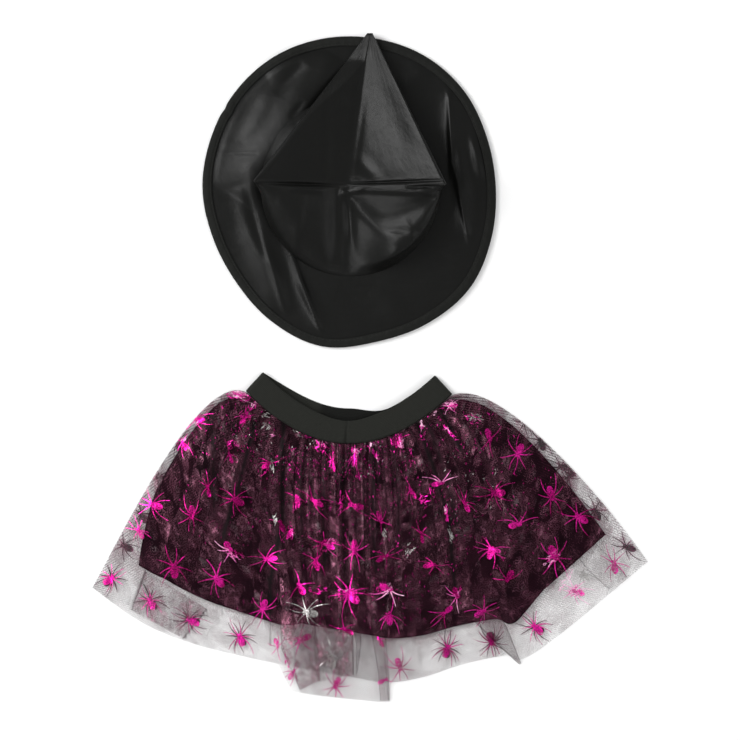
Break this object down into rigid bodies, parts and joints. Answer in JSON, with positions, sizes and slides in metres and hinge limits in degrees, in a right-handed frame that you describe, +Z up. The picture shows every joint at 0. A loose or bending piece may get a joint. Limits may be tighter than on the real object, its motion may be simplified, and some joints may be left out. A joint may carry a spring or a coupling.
{
  "type": "child's witch costume set, pointed hat and net skirt, laid flat",
  "caption": "Pointed cloth hat on its wide brim with the cone folded over, and a net skirt with foil spiders on an elastic waistband over a lining, laid flat.",
  "frame": {"origin": "on the table, under the middle of the laid-out set", "axes": "+X to the right, +Y from the skirt's hem towards the top of the hat, +Z up from the table"},
  "size_m": [0.5394, 0.6508, 0.054],
  "materials": {
    "satin": "black costume satin with a soft sheen",
    "binding": "matt black binding tape",
    "elastic": "ribbed black elastic",
    "net": "fine black net printed with pink metallic foil",
    "lining": "plain matt black lining cloth"
  },
  "bodies": {
    "root": {"hat_brim": "satin", "hat_brim_binding": "binding", "hat_crown": "satin", "skirt_waistband": "elastic", "skirt_net_front": "net", "skirt_net_back": "net", "skirt_lining_front": "lining", "skirt_lining_back": "lining"}
  },
  "joints": []
}
